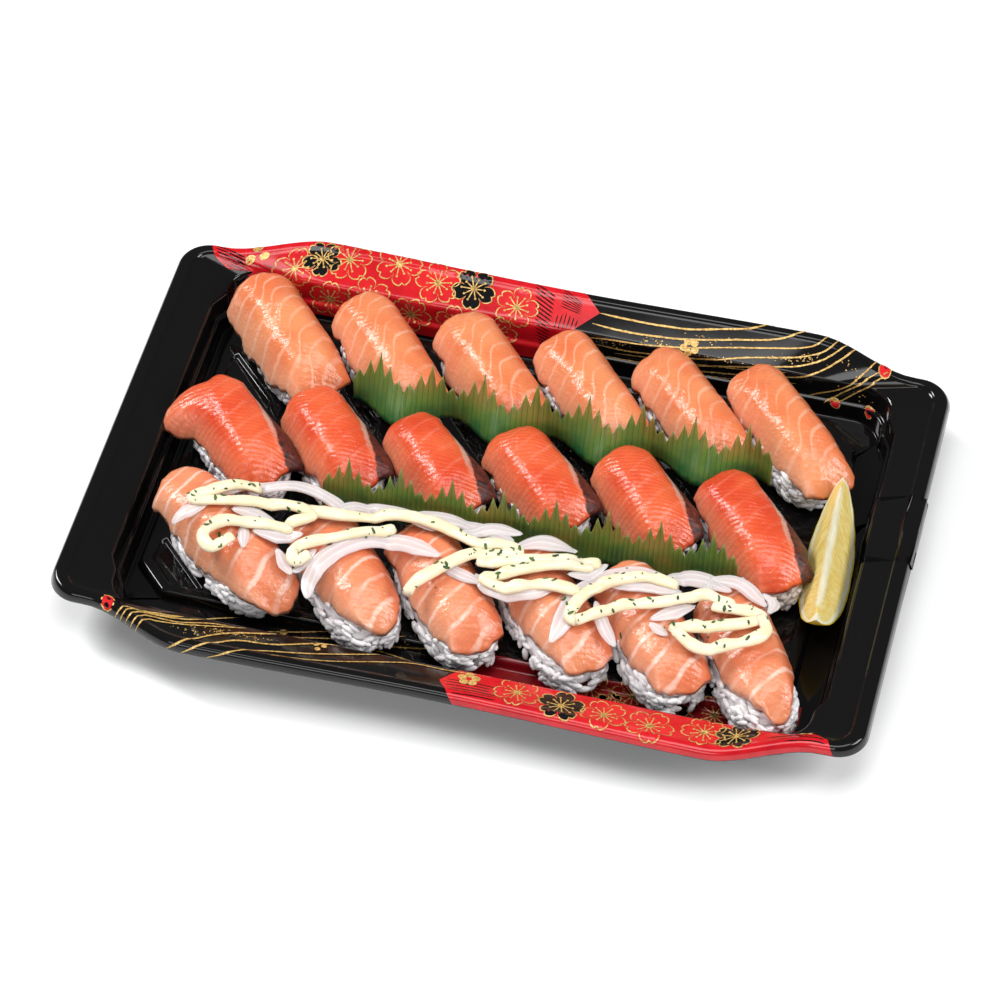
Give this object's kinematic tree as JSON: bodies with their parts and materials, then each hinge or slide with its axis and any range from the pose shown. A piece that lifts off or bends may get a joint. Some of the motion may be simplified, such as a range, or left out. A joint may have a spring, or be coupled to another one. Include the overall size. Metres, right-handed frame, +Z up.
{
  "type": "takeaway sushi tray",
  "caption": "Moulded rectangular takeaway tray with bulged side flanges, holding rows of salmon nigiri, leaf dividers, a lemon wedge and sliced onion under zigzag dressing.",
  "frame": {"origin": "centre of the tray's length and width, at the level that its underside rests on", "axes": "+X along the tray's length towards the lemon end, +Y away from the diner, +Z up"},
  "size_m": [0.29, 0.1958, 0.038],
  "materials": {
    "tray": "glossy black sheet, with a printed border on its side flanges in the visual model",
    "rice": "moist boiled rice",
    "salmon": "wet raw salmon with pale fat lines",
    "seared_salmon": "deep orange salmon, charred on its skin side",
    "leaf": "translucent green film",
    "lemon": "moist lemon flesh, pith and rind",
    "onion_and_dressing": "translucent onion, creamy dressing and dark green parsley"
  },
  "bodies": {
    "root": {"tray": "tray", "rice_far_1": "rice", "fish_far_1": "salmon", "rice_far_2": "rice", "fish_far_2": "salmon", "rice_far_3": "rice", "fish_far_3": "salmon", "rice_far_4": "rice", "fish_far_4": "salmon", "rice_far_5": "rice", "fish_far_5": "salmon", "rice_far_6": "rice", "fish_far_6": "salmon", "rice_mid_1": "rice", "fish_mid_1": "seared_salmon", "rice_mid_2": "rice", "fish_mid_2": "seared_salmon", "rice_mid_3": "rice", "fish_mid_3": "seared_salmon", "rice_mid_4": "rice", "fish_mid_4": "seared_salmon", "rice_mid_5": "rice", "fish_mid_5": "seared_salmon", "rice_mid_6": "rice", "fish_mid_6": "seared_salmon", "rice_near_1": "rice", "fish_near_1": "salmon", "rice_near_2": "rice", "fish_near_2": "salmon", "rice_near_3": "rice", "fish_near_3": "salmon", "rice_near_4": "rice", "fish_near_4": "salmon", "rice_near_5": "rice", "fish_near_5": "salmon", "rice_near_6": "rice", "fish_near_6": "salmon", "leaf_far": "leaf", "leaf_near": "leaf", "lemon": "lemon", "onion_and_dressing": "onion_and_dressing"}
  },
  "joints": []
}
